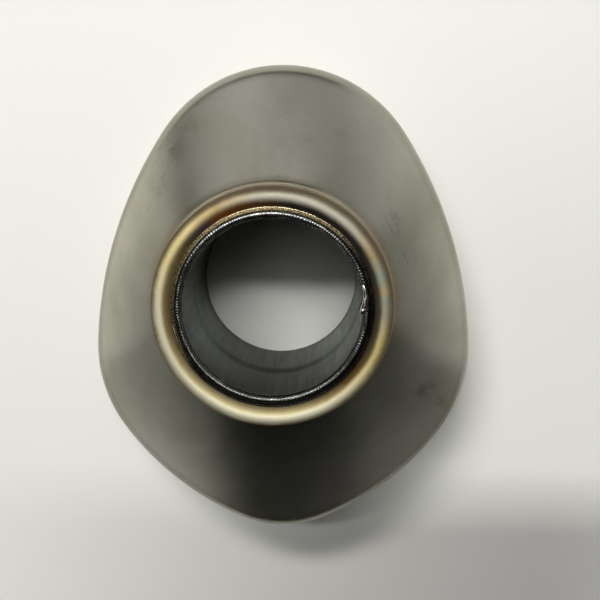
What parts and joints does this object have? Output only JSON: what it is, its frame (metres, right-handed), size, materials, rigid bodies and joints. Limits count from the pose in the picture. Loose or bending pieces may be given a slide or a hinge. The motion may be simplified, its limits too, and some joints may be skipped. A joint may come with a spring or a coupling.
{
  "type": "muffler end cap",
  "caption": "Tri-oval pressed sheet end cap for a motorcycle muffler, with a rolled round collar and a welded straight outlet tube.",
  "frame": {"origin": "centre of the outline's box, in the plane of the skirt's lower edge", "axes": "+Z out of the muffler along the outlet tube's axis, +Y towards the narrow round end of the outline, X across it"},
  "size_m": [0.1064, 0.1322, 0.0527],
  "materials": {
    "shell_steel": "satin, heat tinted round the lip",
    "tube_steel": "dull satin",
    "weld_metal": "rippled, dark oxide"
  },
  "bodies": {
    "root": {"end_cap_shell": "shell_steel", "outlet_tube": "tube_steel", "weld_bead": "weld_metal"}
  },
  "joints": []
}
